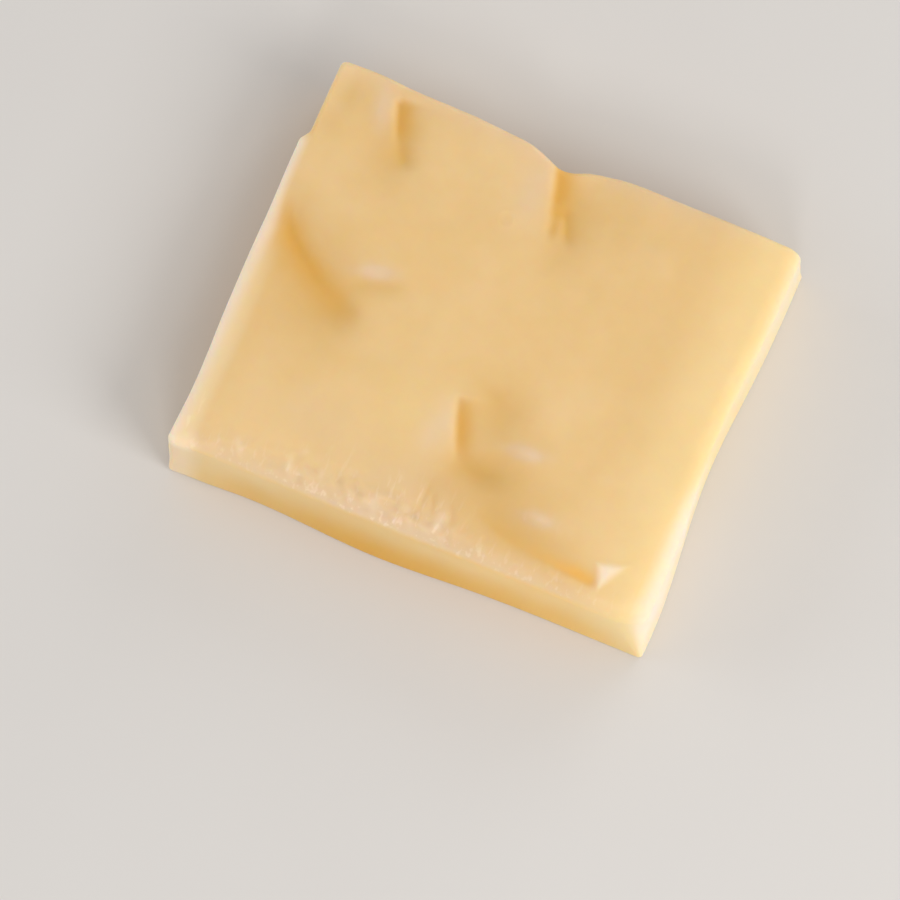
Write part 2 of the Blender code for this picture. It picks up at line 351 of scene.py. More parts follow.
@dataclass(frozen=True)
class Wave(Feature):
    """One of the long waves that keep the top from being flat."""

    height: float
    length: float
    heading: float
    phase: float

    def rise(self, x: Array, y: Array) -> Array:
        """Height of the wave at each place."""
        travel, _ = turned(x, y, self.heading)
        return self.height * np.sin(2.0 * math.pi * travel / self.length + self.phase)


@dataclass(frozen=True)
class Dimple(Feature):
    """A small round dimple with a raised rim."""

    at: Point
    radius: float
    depth: float
    rim: float
    rim_width: float = 0.3
    steepness: float = 1.6

    def rise(self, x: Array, y: Array) -> Array:
        """Height of the dimple and its rim at each place.

        Args:
            x: The places along the block.
            y: The places across it.

        Returns:
            The heights, below 0 in the dimple.
        """
        away = np.hypot(x - self.at[0], y - self.at[1]) / self.radius
        rim = self.rim * np.exp(-(((away - 1.0) / self.rim_width) ** 2))
        return rim - self.depth * np.exp(-((away * self.steepness) ** 2))


@dataclass(frozen=True)
class Ripples(Feature):
    """The faint unevenness of soft curd: many short waves that run every way."""

    count: int
    height: float
    shortest: float
    longest: float
    seed: int

    def rise(self, x: Array, y: Array) -> Array:
        """Height of all the ripples together at each place.

        Args:
            x: The places along the block.
            y: The places across it.

        Returns:
            The heights.
        """
        draw = np.random.default_rng(self.seed)
        total = np.zeros(x.shape)
        for _ in range(self.count):
            length = self.shortest * (self.longest / self.shortest) ** draw.random()
            wave = Wave(self.height, length, 360.0 * draw.random(), 2.0 * math.pi * draw.random())
            total = total + wave.rise(x, y) * length / self.longest
        return total


@dataclass(frozen=True)
class Patch(Feature):
    """Another feature that is kept to one stretch of the top."""

    of: Feature
    stretch: Swell

    def rise(self, x: Array, y: Array) -> Array:
        """Height of the feature at each place, fading out round its stretch."""
        return self.of.rise(x, y) * self.stretch.rise(x, y)


@dataclass(frozen=True)
class Curd:
    """The folds, hollows, masses and marks of the top by name, each kind in its own group.

    The last group holds painted highlights, which colour the top and don't raise it.
    """

    folds: Mapping[str, Fold]
    hollows: Mapping[str, Swell]
    masses: Mapping[str, Feature]
    wrinkles: Mapping[str, Fold]
    grazes_and_highlights: Mapping[str, Fold]
    painted_sheens: Mapping[str, Swell]

    def total(self, x: Array, y: Array, *groups: Mapping[str, Feature]) -> Array:
        """Height of everything in some groups together at each place."""
        rises = (feature.rise(x, y) for group in groups for feature in group.values())
        return sum(rises, np.zeros(x.shape))

    def low(self, x: Array, y: Array) -> Array:
        """How far the hollows, and half as much the folds, lower each place."""
        return -self.total(x, y, self.hollows) - 0.5 * self.total(x, y, self.folds)

    def shade_weight(self, x: Array, y: Array) -> Array:
        """How much painted shade the folds put on each place: their depth times their weight."""
        return -sum((fold.shade_weight * fold.rise(x, y) for fold in self.folds.values()), np.zeros(x.shape))

    def rise(self, x: Array, y: Array) -> Array:
        """Height of everything but the painted highlights at each place."""
        return self.total(x, y, self.folds, self.hollows, self.masses, self.wrinkles, self.grazes_and_highlights)


def wrinkle(*path: PathPoint) -> Fold:
    """A thin wrinkle of the front rim."""
    return Fold(path, left=0.6, right=0.5, rounding=0.2)


def thin_graze(*path: PathPoint) -> Fold:
    """A thin raised graze of the front rim."""
    return Fold(path, left=0.5, right=0.5, rounding=0.2)


def highlight_ridge(*path: PathPoint) -> Fold:
    """A broad raised ridge beside a fold, which carries a painted highlight."""
    return Fold(path, left=1.0, right=0.8)


FOLDS = {
    "back left nick": Fold(
        (
            (-35.6, 41.2, 0.2), (-35.3, 39.2, 1.0), (-34.3, 36.4, 1.1), (-33.2, 33.4, 0.8),
            (-32.3, 31.0, 0.2),
        ),
        left=3.2, right=0.8, power=1.6, shade_weight=1.5,
    ),
    "back left tail": Fold(
        ((-32.8, 34.0, 0.1), (-31.4, 31.2, 0.6), (-30.0, 28.2, 0.6), (-28.6, 25.4, 0.0)),
        left=1.6, right=1.8, rounding=0.6,
    ),
    "back crack": Fold(
        (
            (-0.8, 41.0, 0.9), (0.1, 38.0, 1.1), (0.8, 35.8, 1.2), (1.5, 33.0, 1.1),
            (2.1, 30.4, 0.6), (2.6, 27.6, 0.0),
        ),
        left=3.0, right=1.0, rounding=0.3, power=1.6, shade_weight=2.2,
    ),
    "back crack tail": Fold(
        ((1.6, 32.0, 0.0), (2.3, 29.6, 0.5), (2.9, 26.6, 0.6), (3.2, 23.0, 0.0)),
        left=1.1, right=0.7, shade_weight=2.0,
    ),
    "back crack branch": Fold(
        ((3.9, 33.0, 0.0), (4.6, 30.5, 0.4), (6.1, 26.8, 0.6), (7.0, 23.0, 0.0)),
        left=1.2, right=1.0, shade_weight=2.0,
    ),
    "left dent": Fold(
        (
            (-47.8, 20.0, 0.0), (-47.9, 14.0, 0.5), (-47.3, 9.4, 1.3), (-45.2, 6.2, 1.9),
            (-42.4, 3.3, 2.0), (-39.0, 0.8, 1.8), (-35.2, -1.5, 1.6), (-32.0, -3.2, 1.3),
            (-29.0, -4.5, 0.9), (-26.0, -5.7, 0.4), (-23.0, -6.8, 0.0),
        ),
        left=2.3, right=4.4, rounding=0.8, power=1.2,
    ),
    "left dent branch": Fold(
        ((-31.0, -0.8, 0.2), (-26.5, 1.4, 0.6), (-21.5, 2.8, 0.4), (-17.0, 4.8, 0.0)),
        left=2.2, right=2.4,
    ),
    "lobe slit": Fold(
        (
            (-0.1, -12.4, 0.1), (0.3, -14.0, 0.6), (1.1, -16.4, 0.9), (1.9, -18.6, 1.0),
            (3.0, -21.4, 0.9), (3.9, -23.8, 0.5), (4.0, -25.6, 0.2), (3.0, -28.2, 0.1),
            (1.6, -31.5, 0.0),
        ),
        left=2.6, right=0.9, rounding=0.3, power=1.7, shade_weight=2.3,
    ),
    "lobe valley": Fold(
        (
            (-4.0, -5.5, 0.0), (1.0, -8.4, 0.3), (7.0, -10.4, 0.5), (13.0, -11.6, 0.2),
            (17.0, -12.4, 0.0),
        ),
        left=4.0, right=3.0,
    ),
    "front groove": Fold(
        (
            (10.0, -31.5, 0.0), (15.0, -34.6, 0.2), (20.0, -36.0, 0.3), (25.0, -36.9, 0.25),
            (30.0, -37.3, 0.35), (34.6, -37.6, 0.5), (37.3, -37.9, 0.5),
        ),
        left=1.6, right=0.8, rounding=0.5, shade_weight=3.6,
    ),
}
HOLLOWS = {
    "nick": Swell((-33.0, 29.8), (5.2, 8.0), height=-0.8),
    "corner": Swell((-46.6, 36.8), (3.4, 3.6), height=-0.4),
    "rim": Swell((-47.6, 30.4), (2.6, 3.0), height=-0.3),
    "dent": Swell((-38.6, -1.6), (13.5, 8.4), height=-0.7, turn=-42.0),
    "dent end": Swell((-31.0, -6.0), (5.0, 3.8), height=-0.6),
    "left": Swell((-41.0, -11.0), (8.0, 9.0), height=-0.3),
    "crack": Swell((5.6, 28.4), (4.4, 8.0), height=-0.8, turn=10.0),
    "crack slope": Swell((14.0, 33.0), (12.0, 8.0), height=-0.5),
    "middle": Swell((9.5, 6.0), (6.0, 24.0), height=-0.2),
    "slit": Swell((8.0, -14.6), (4.6, 5.0), height=-0.5),
    "lobe": Swell((8.6, -25.6), (5.6, 3.0), height=-1.4, turn=4.0),
    "lobe basin": Swell((13.2, -28.0), (10.0, 9.0), height=-0.95),
    "groove": Swell((23.0, -34.8), (12.0, 4.4), height=-0.7, turn=-10.0),
    "wrinkles": Swell((2.5, -31.0), (5.0, 3.5), height=-0.35),
}
MASSES = {
    "nick ridge": Swell((-38.4, 36.0), (2.2, 6.5), height=0.4, turn=16.0),
    "left mass": Swell((-30.0, 13.0), (16.0, 12.0), height=0.7),
    "dent shoulder": Swell((-25.6, 6.0), (7.0, 3.0), height=0.55, turn=12.0),
    "crack mass": Swell((-5.5, 32.0), (8.0, 14.0), height=0.8),
    "back sag": Swell((7.5, 40.5), (8.0, 8.5), height=-1.2, turn=-14.0),
    "back droop": Swell((27.0, 44.5), (21.0, 5.0), height=-1.7, turn=-2.0),
    "lobe": Swell((-7.0, -19.5), (10.5, 9.5), height=1.1),
    "lobe front": Swell((-3.0, -20.0), (4.8, 8.5), height=0.5, turn=-10.0),
    "hollow shoulder": Swell((15.8, -18.6), (5.6, 2.6), height=0.6, turn=4.0),
    "groove shoulder": Swell((23.0, -30.4), (6.0, 2.4), height=0.6, turn=-4.0),
    "flake": Flake(((39.5, -41.2), (45.6, -30.8), (36.3, -33.4)), height=0.4, softness=2.4),
    "long wave": Wave(height=0.14, length=41.0, heading=28.0, phase=0.6),
    "cross wave": Wave(height=0.10, length=29.0, heading=-47.0, phase=2.1),
    "short wave": Wave(height=0.06, length=17.0, heading=81.0, phase=4.0),
    "ripples": Ripples(count=26, height=0.022, shortest=3.5, longest=14.0, seed=7),
    "rim ripples": Patch(
        of=Ripples(count=30, height=0.06, shortest=1.8, longest=5.0, seed=3),
        stretch=Swell((-8.0, -40.0), (36.0, 4.0), height=1.0),
    ),
    "dimple": Dimple((-6.2, 24.5), radius=1.6, depth=0.18, rim=0.09),
}
WRINKLES = {
    "lobe": wrinkle((1.0, -30.0, 0.0), (1.0, -33.0, 0.25), (0.9, -37.0, 0.2), (0.8, -39.5, 0.0)),
    "inner": wrinkle((2.0, -31.5, 0.0), (2.7, -34.4, 0.25), (3.6, -37.1, 0.2), (5.0, -40.0, 0.0)),
    "outer": wrinkle((6.0, -32.5, 0.0), (6.7, -34.4, 0.15), (7.6, -37.2, 0.2), (8.2, -39.5, 0.0)),
}
# Thin pale scratches of the front rim, and low ridges that carry painted highlights.
GRAZES_AND_HIGHLIGHTS = {
    "far": thin_graze(
        (-38.4, -37.0, 0.0), (-37.6, -38.4, -0.08), (-36.6, -40.2, -0.06), (-36.1, -41.6, 0.0)
    ),
    "long": thin_graze(
        (-26.9, -36.4, 0.0), (-26.5, -38.0, -0.07), (-26.1, -39.9, -0.08), (-25.2, -42.0, 0.0)
    ),
    "short": thin_graze((-25.6, -35.4, 0.0), (-24.4, -35.3, -0.06), (-23.1, -35.1, 0.0)),
    "slant": thin_graze((-20.4, -36.6, 0.0), (-19.8, -38.2, -0.07), (-19.4, -40.0, 0.0)),
    "near": Fold(
        ((-9.6, -38.2, 0.0), (-8.4, -39.4, -0.09), (-7.6, -40.8, -0.08), (-7.6, -42.4, 0.0)),
        left=0.8, right=0.6, rounding=0.3,
    ),
    "wrinkle": Fold(
        ((6.8, -35.6, 0.0), (6.0, -37.2, -0.08), (5.4, -39.0, -0.09), (5.4, -41.2, 0.0)),
        left=0.8, right=0.8, rounding=0.3,
    ),
    "dent": highlight_ridge(
        (-30.6, 3.2, 0.0), (-28.0, 3.8, -0.04), (-25.4, 4.3, -0.04), (-23.0, 4.9, 0.0)
    ),
    "hollow": highlight_ridge(
        (11.4, -18.6, 0.0), (14.6, -19.0, -0.03), (18.0, -19.1, -0.06), (20.0, -18.9, 0.0)
    ),
    "groove": highlight_ridge(
        (19.4, -29.3, 0.0), (22.2, -29.9, -0.05), (25.0, -30.3, -0.07), (27.4, -30.4, 0.0)
    ),
}
# Patches of painted highlight on the top, by name.
PAINTED_SHEENS = {
    "front": Swell((-4.0, -42.8), (60.0, 4.0), height=0.95),
    "back": Swell((6.0, 43.6), (56.0, 4.0), height=0.9),
    "wrinkles": Swell((-4.0, -35.0), (14.0, 6.0), height=0.4),
    "near": Swell((5.6, -37.0), (2.2, 4.5), height=0.3),
    "middle": Swell((2.5, -27.0), (8.0, 8.0), height=0.3),
    "left": Swell((-24.0, -28.0), (9.0, 6.0), height=0.25),
    "nick": Swell((-37.8, 36.0), (2.0, 5.5), height=0.8, turn=14.0),
    "crack": Swell((-2.8, 33.0), (4.0, 8.0), height=0.5),
    "dent": Swell((-25.8, 4.2), (4.0, 1.5), height=1.4, turn=16.0),
    "lobe": Swell((-1.6, -19.5), (2.8, 7.5), height=0.6, turn=-12.0),
    "hollow": Swell((15.9, -18.9), (3.8, 1.5), height=1.5, turn=8.0),
    "groove": Swell((22.8, -30.7), (4.2, 1.5), height=1.5, turn=6.0),
}
CHEDDAR_CURD = Curd(FOLDS, HOLLOWS, MASSES, WRINKLES, GRAZES_AND_HIGHLIGHTS, PAINTED_SHEENS)

TOP_OUTLINE = Outline(
    left=Side(
        50.1,
        bows=(Bow(-46.0, 10.0, 1.1), Bow(-8.0, 24.0, 0.5)),
        ledge=Ledge(at=25.7, run=1.3, out=1.6, fade_length=75.0),
    ),
    right=Side(51.3, slope=0.005, bows=(Bow(-2.0, 20.0, -1.5),)),
    front=Side(42.8, bows=(Bow(-8.0, 20.0, 0.3), Bow(-51.0, 6.0, 0.8))),
    back=Side(
        42.6,
        slope=-0.016,
        bows=(
            Bow(0.3, 6.0, -3.1),
            Bow(-10.0, 8.0, -0.7),
            Bow(3.5, 2.0, -0.2),
            Bow(9.0, 4.0, -0.45),
            Bow(-44.0, 8.0, 0.5),
        ),
    ),
)
BASE_OUTLINE = Outline(
    left=Side(
        52.0,
        bows=(Bow(-46.0, 6.0, -0.3),),
        ledge=Ledge(at=25.7, run=2.5, out=0.6, fade_length=90.0),
    ),
    right=Side(51.8, slope=0.006, bows=(Bow(-2.0, 20.0, -1.8), Bow(-34.0, 12.0, 0.5))),
    front=Side(
        43.7,
        slope=0.004,
        bows=(Bow(-6.0, 19.0, 1.4), Bow(-46.0, 9.0, 0.8), Bow(-52.5, 4.0, 0.6)),
    ),
    back=Side(44.2, slope=-0.008, bows=(Bow(-0.5, 9.0, -1.5),)),
)


class Signal:
    """A number or a colour on its way through a shader, written in plain sums."""

    def __init__(self, tree: "ShaderTree", socket: bpy.types.NodeSocket) -> None:
        """Wrap one output of a node of the tree."""
        self.tree = tree
        self.socket = socket

    def joined(self, operation: str, first: Any, second: Any) -> "Signal":
        """Add a Math node, and give the result of its sum on the two as a signal."""
        return self.tree.node("ShaderNodeMath", {"operation": operation}, {0: first, 1: second})

    def __add__(self, other: "Operand") -> "Signal":
        """The sum of both."""
        return self.joined("ADD", self, other)

    def __radd__(self, other: "Operand") -> "Signal":
        """The sum of both."""
        return self.joined("ADD", other, self)

    def __sub__(self, other: "Operand") -> "Signal":
        """This less the other."""
        return self.joined("SUBTRACT", self, other)

    def __rsub__(self, other: "Operand") -> "Signal":
        """The other less this."""
        return self.joined("SUBTRACT", other, self)

    def __mul__(self, other: "Operand") -> "Signal":
        """The product of both."""
        return self.joined("MULTIPLY", self, other)


Operand = Union[Signal, float]


class ShaderTree:
    """The nodes of one material."""

    def __init__(self, name: str) -> None:
        """Start an empty material.

        Args:
            name: The material's name.
        """
        self.material = bpy.data.materials.new(name)
        self.material.use_nodes = True
        self.nodes = self.material.node_tree.nodes
        self.links = self.material.node_tree.links
        self.nodes.clear()

    def node(
        self,
        kind: str,
        settings: Mapping[str, Any],
        inputs: Mapping[Union[int, str], Any],
        output: Union[int, str] = 0,
    ) -> Signal:
        """Add one node.

        Args:
            kind: Its type.
            settings: Its own settings, which are set before its sockets are filled.
            inputs: The number, colour or signal of each socket, by the socket's name or place.
            output: The name or place of the output asked for.

        Returns:
            That output as a signal.
        """
        made = self.nodes.new(kind)
        for name, value in settings.items():
            setattr(made, name, value)
        for place, value in inputs.items():
            if isinstance(value, Signal):
                self.links.new(value.socket, made.inputs[place])
            else:
                made.inputs[place].default_value = value
        return Signal(self, made.outputs[output])

    def place(self) -> Signal:
        """Where each point of the piece is, in metres."""
        return self.node("ShaderNodeTexCoord", {}, {}, "Object")

    def mark(self, mark: Mark) -> Signal:
        """A mark that the mesh carries, from 0 to 1."""
        settings = {"attribute_type": "GEOMETRY", "attribute_name": mark.value}
        return self.node("ShaderNodeAttribute", settings, {}, "Fac")

    def noise(self, place: Signal, size: float, detail: float) -> Signal:
        """Soft random mottling.

        Args:
            place: Where each point is.
            size: How large the mottles are, in millimetres.
            detail: How many finer layers they have.

        Returns:
            The mottling, around 0.5.
        """
        inputs = {"Vector": place, "Scale": 1.0 / (size * MM), "Detail": detail}
        inputs["Roughness"] = NOISE_ROUGHNESS
        return self.node("ShaderNodeTexNoise", {"noise_dimensions": "3D"}, inputs, "Fac")

    def step(self, value: Signal, ramp: Ramp) -> Signal:
        """The height of a soft step at the value."""
        inputs = {"Value": value, "From Min": ramp.start, "From Max": ramp.end, "To Max": ramp.height}
        return self.node("ShaderNodeMapRange", {"interpolation_type": "SMOOTHSTEP"}, inputs, "Result")

    def blend(self, first: Any, second: Any, share: Signal) -> Signal:
        """A colour that lies a share of the way from the first to the second."""
        return self.node("ShaderNodeMix", {"data_type": "RGBA"}, {0: share, 6: first, 7: second}, 2)

    def bump(self, height: Signal, distance: float, strength: float) -> Signal:
        """Fine relief.

        Args:
            height: Its height, from 0 to 1.
            distance: What a height of 1 means, in millimetres.
            strength: How much of it is used.

        Returns:
            The normal that it gives.
        """
        inputs = {"Height": height, "Distance": distance * MM, "Strength": strength}
        return self.node("ShaderNodeBump", {}, inputs, "Normal")

    def close(self, surface: Signal) -> bpy.types.Material:
        """Send a shader to the material's output.

        Args:
            surface: The shader.

        Returns:
            The finished material.
        """
        made = self.nodes.new("ShaderNodeOutputMaterial")
        self.links.new(surface.socket, made.inputs["Surface"])
        return self.material


@dataclass(frozen=True)
class CheeseFinish:
    """Moist, waxy cheddar, painted lighter where light passes through and darker in its folds."""

    face: Colour = from_screen(232, 198, 140)
    light_face: Colour = from_screen(236, 204, 150)
    # Painted shade in the hollows of the top.
    hollow: Colour = from_screen(216, 172, 94)
    # Painted shade in the folds, a deep orange.
    fold: Colour = from_screen(228, 177, 89)
    # Painted light in the folds towards the right: a lit copy of the fold colour.
    lit_fold: Colour = from_screen(246, 193, 94)
    # Painted light on the right-hand side, the left rim and the lobe.
    pale: Colour = from_screen(252, 228, 169)
    # Painted shade of the walls, deepest at the bottom.
    side: Colour = from_screen(222, 168, 85)
    # Painted light on the right of the front wall.
    painted_glow: Colour = from_screen(253, 207, 134)
    # Painted highlights on the front, back and left rim, raised curd and slopes facing a lamp.
    painted_sheen: Colour = from_screen(228, 200, 163)
    # Pale scratches, and painted highlights on the right and left rim, the flake and low ridges.
    graze: Colour = from_screen(249, 229, 205)
    cloud_size: float = 24.0
    cloud_step: Ramp = Ramp(0.35, 0.7)
    # Streaks that break up the painted highlights of the front band.
    stroke_width: float = 1.1
    stroke_slant: float = 0.12
    stroke_stretch: tuple[float, float, float] = (1.0, 0.25, 1.0)
    stroke_step: Ramp = Ramp(0.54, 0.7)
    stroke_strength: float = 0.45
    grain_size: float = 1.4
    grain_share: float = 0.3
    pit_size: float = 4.5
    pit_share: float = 0.7
    relief: float = 0.04
    relief_strength: float = 0.4
    roughness: float = 0.38
    roughness_spread: float = 0.12
    cut_roughness: float = 0.3
    refraction: float = 1.42
    gloss: float = 0.12
    moisture: float = 0.3
    moist_step: Ramp = Ramp(0.35, 0.65)
    moist_sheen: float = 0.5
    moist_roughness: float = 0.3
    scatter_reach: float = 2.2
    scatter_colours: tuple[float, float, float] = (1.0, 0.62, 0.3)

    def colour(self, tree: ShaderTree, place: Signal) -> Signal:
        """The colour of the cheese, with its painted light, shade and highlights.

        Args:
            tree: The material that it is for.
            place: Where each point is.

        Returns:
            The colour all over the block.
        """
        clouds = tree.noise(place, self.cloud_size, 3.0)
        strokes = self.strokes(tree, place) * tree.mark(Mark.PAINTED_STREAKS) * self.stroke_strength
        colour = tree.blend(self.face, self.light_face, tree.step(clouds, self.cloud_step))
        # Layers over the cheese's own tone: painted shade, light and highlights, then pale scratches.
        layers = (
            (self.side, tree.mark(Mark.WALL_SHADE)),
            (self.painted_glow, tree.mark(Mark.PAINTED_GLOW)),
            (self.painted_sheen, tree.mark(Mark.PAINTED_SHEEN)),
            (self.graze, strokes),
            (self.pale, tree.mark(Mark.PAINTED_LIGHT)),
            (self.hollow, tree.mark(Mark.HOLLOW_SHADE)),
            (tree.blend(self.fold, self.lit_fold, tree.mark(Mark.PAINTED_GLOW)), tree.mark(Mark.FOLD_SHADE)),
            (self.graze, tree.mark(Mark.GRAZE_AND_HIGHLIGHT)),
        )
        for layer, share in layers:
            colour = tree.blend(colour, layer, share)
        return colour

    def strokes(self, tree: ShaderTree, place: Signal) -> Signal:
        """Fine painted highlight streaks from the back to the front, where the curd was drawn out.

        Args:
            tree: The material that they are for.
            place: Where each point is.

        Returns:
            The strokes, from 0 to 1.
        """
        turn = (0.0, 0.0, self.stroke_slant)
        inputs = {"Vector": place, "Rotation": turn, "Scale": self.stroke_stretch}
        drawn = tree.node("ShaderNodeMapping", {}, inputs)
        return tree.step(tree.noise(drawn, self.stroke_width, 2.0), self.stroke_step)

    def material(self) -> bpy.types.Material:
        """Build the material.

        Returns:
            The material, which reads the marks of the mesh.
        """
        tree = ShaderTree("cheddar_paste")
        place = tree.place()
        grain = tree.noise(place, self.grain_size, 3.0)
        pits = tree.noise(place, self.pit_size, 2.0)
        cut = tree.mark(Mark.CUT)
        painted_sheen = tree.mark(Mark.PAINTED_SHEEN)
        height = pits * self.pit_share + grain * self.grain_share
        roughness = self.roughness + (pits - 0.5) * self.roughness_spread + cut * self.cut_roughness
        # Real coat gloss, stronger where the highlights are painted.
        coated = (tree.step(pits, self.moist_step) + painted_sheen * self.moist_sheen) * (1.0 - cut)
        surface = tree.node(
            "ShaderNodeBsdfPrincipled",
            {"subsurface_method": "RANDOM_WALK"},
            {
                "Base Color": self.colour(tree, place),
                "Roughness": roughness,
                "IOR": self.refraction,
                "Specular IOR Level": self.gloss,
                "Coat Weight": coated * self.moisture,
                "Coat Roughness": self.moist_roughness,
                "Subsurface Weight": 1.0,
                "Subsurface Radius": self.scatter_colours,
                "Subsurface Scale": self.scatter_reach * MM,
                "Normal": tree.bump(height, self.relief, self.relief_strength),
            },
        )
        return tree.close(surface)


@dataclass(frozen=True)
class TableFinish:
    """A plain pale table."""

    colour: Colour = (0.68, 0.645, 0.60, 1.0)
    shade: Colour = (0.66, 0.62, 0.575, 1.0)
    cloud_size: float = 60.0
    roughness: float = 0.6
    roughness_spread: float = 0.1

    def material(self) -> bpy.types.Material:
        """Build the material.

        Returns:
            The material.
        """
        tree = ShaderTree("pale_table")
        clouds = tree.noise(tree.place(), self.cloud_size, 2.0)
        colour = tree.blend(self.colour, self.shade, clouds)
        roughness = self.roughness + (clouds - 0.5) * self.roughness_spread
        inputs = {"Base Color": colour, "Roughness": roughness}
        return tree.close(tree.node("ShaderNodeBsdfPrincipled", {}, inputs))


@dataclass(frozen=True)
class Dressing:
    """What the vertices carry for the finish, from where each is on the block.

    x and y are the places of the top at the vertices or over them. rim is how far each vertex is
    turned round an edge of the top, down is how far down the wall it is, and sunk is how many
    millimetres the curd there lies below the curd around it. A ramp with a side of the block in
    its name runs towards that side.
    """

    curd: Curd
    x: Array
    y: Array
    rim: Array
    down: Array
    sunk: Array

    off_top: Ramp = Ramp(0.0, 0.12)
    cut: Ramp = Ramp(0.8, 1.0)
    right: Ramp = Ramp(32.0, 51.0)
    # Painted shade in the folds and wrinkles.
    fold: Ramp = Ramp(0.0, 1.8)
    wrinkle_depth: float = 0.3
    wrinkle_shade_strength: float = 0.2
    # Painted shade in the hollows and beside the folds.
    hollow_shade_depth: float = 1.2
    hollow_shade_strength: float = 0.9
    # The band of painted reflection and light along the left rim.
    band_left: Ramp = Ramp(-44.8, -47.8)
    band_back: Ramp = Ramp(27.0, 36.0)
    band_front: Ramp = Ramp(17.0, 9.0)
    band_strengths: Point = (0.1, 0.4)
    # Painted highlights on raised curd, the left rim and the listed patches, fewer towards the right.
    proud_sheen: Ramp = Ramp(0.05, 0.9, 0.5)
    right_sheen_loss: float = 0.4
    band_sheen: float = 0.9
    # The painted highlights of the front band are broken into streaks.
    streaks_front: Ramp = Ramp(-28.0, -35.0)
    # Painted light on the right-hand side, the left rim and the lobe.
    right_lit: float = 0.52
    band_lit: float = 0.45
    lobe_lit: float = 0.2
    # Painted light on the right of the front wall and in the folds towards the right.
    glow_right: Ramp = Ramp(-5.0, 40.0, 0.5)
    glow_front: Ramp = Ramp(-38.0, -41.0)
    lit_fold_right: Ramp = Ramp(18.0, 30.0)
    # Painted shade of the walls: deepest at the bottom, weaker towards the right and the front-left
    # corner.
    shade_cut: float = 0.2
    shade_down: Ramp = Ramp(0.0, 0.85, 0.8)
    shade_loss_right: Ramp = Ramp(30.0, 50.0, 0.9)
    shade_loss_left: Ramp = Ramp(-12.0, -30.0, 0.3)
    corner_left: Ramp = Ramp(-32.0, -47.0)
    corner_front: Ramp = Ramp(-10.0, -41.0)
    corner_shade_loss: float = 0.8
    # Pale scratches, and painted highlights on low ridges and the flake.
    graze_height: float = 0.3
    flake_height: Ramp = Ramp(0.0, 0.4)
    flake_left: Ramp = Ramp(46.0, 40.0)
    flake_highlight: float = 0.8
    # Painted highlights on the right rim and the front of the left rim; the white front corner.
    right_rim_front: Ramp = Ramp(2.0, -22.0)
    right_rim_starts: Point = (49.1, 46.9)
    right_rim_strengths: Point = (0.55, 0.8)
    right_rim_width: float = 3.5
    right_rim_loss: Ramp = Ramp(0.2, 1.0, 0.5)
    left_rim_front: Ramp = Ramp(14.0, 4.0)
    left_rim_starts: Point = (-48.8, -47.2)
    left_rim_end: float = -51.4
    left_rim_strength: float = 0.9
    jog_front: Ramp = Ramp(27.0, 24.0)
    corner_rim_left: Ramp = Ramp(-43.0, -48.0, 0.4)
    corner_rim_front: Ramp = Ramp(-39.0, -42.0)
    corner_wall_front: Ramp = Ramp(-12.0, -42.0)
    corner_rim_down: Ramp = Ramp(0.0, 0.1)

    def band(self) -> Array:
        """Painted reflection and light along the left rim, full in front and weak in the middle."""
        strength = mix(*self.band_strengths, self.band_back(self.y))
        return self.band_left(self.x) * mix(strength, 1.0, self.band_front(self.y))

    def rim_highlights(self, on_top: Array) -> Array:
        """Painted highlights on the right rim and the left rim's front, and the white front corner.

        Args:
            on_top: How much each vertex belongs to the top.

        Returns:
            How white each vertex is.
        """
        front = self.right_rim_front(self.y)
        out = (self.x - mix(*self.right_rim_starts, front)) / self.right_rim_width
        right = mix(*self.right_rim_strengths, front) * Ramp(0.0, 1.0)(out)
        right = right * (1.0 - self.right_rim_loss(self.down))
        start = mix(*self.left_rim_starts, self.left_rim_front(self.y))
        out = (start - self.x) / (start - self.left_rim_end)
        left = Ramp(0.0, 1.0, self.left_rim_strength)(out) * self.jog_front(self.y)
        down = self.corner_rim_down(self.down)
        front = mix(self.corner_rim_front(self.y), self.corner_wall_front(self.y), down)
        return np.maximum(right + left * on_top, self.corner_rim_left(self.x) * front)

    def marks(self) -> dict[Mark, Array]:
        """Everything that the vertices carry.

        Returns:
            Each mark, from 0 to 1 at each vertex.
        """
        x, y, curd = self.x, self.y, self.curd
        on_top = 1.0 - self.off_top(self.down)
        cut, right, band = self.cut(self.rim), self.right(x), self.band()
        # Painted shade in the folds and wrinkles.
        wrinkles = np.clip(-curd.total(x, y, curd.wrinkles) / self.wrinkle_depth, 0.0, 1.0)
        folded = self.fold(0.5 * (self.sunk + curd.shade_weight(x, y)))
        crease = np.clip(folded + self.wrinkle_shade_strength * wrinkles, 0.0, 1.0) * on_top
        # Painted shade in the hollows and beside the folds.
        shallow = np.exp(-np.maximum(curd.low(x, y), 0.0) / self.hollow_shade_depth)
        # Painted highlights: the listed patches, raised curd and the left rim, fewer towards the
        # right.
        painted_shine = curd.total(x, y, curd.painted_sheens) + self.proud_sheen(-self.sunk)
        painted_shine = painted_shine * (1.0 - self.right_sheen_loss * right) * (1.0 - cut) + self.band_sheen * band
        painted_sheen = np.clip(painted_shine * on_top, 0.0, 1.0)
        # Painted light on the right-hand side, the left rim and the lobe.
        lit = self.band_lit * band + self.lobe_lit * curd.masses["lobe"].rise(x, y)
        lit = np.clip(self.right_lit * right + lit * on_top, 0.0, 1.0)
        # Painted light on the right of the front wall.
        painted_glow = self.glow_right(x) * self.glow_front(y) * cut
        # Painted shade of the walls, deepest at the bottom.
        side = (self.shade_cut * cut + self.shade_down(self.down)) * (1.0 - self.shade_loss_right(x))
        corner = np.maximum(band * on_top, self.corner_left(x) * self.corner_front(y))
        side = side * (1.0 - self.corner_shade_loss * corner) * (1.0 - self.shade_loss_left(x))
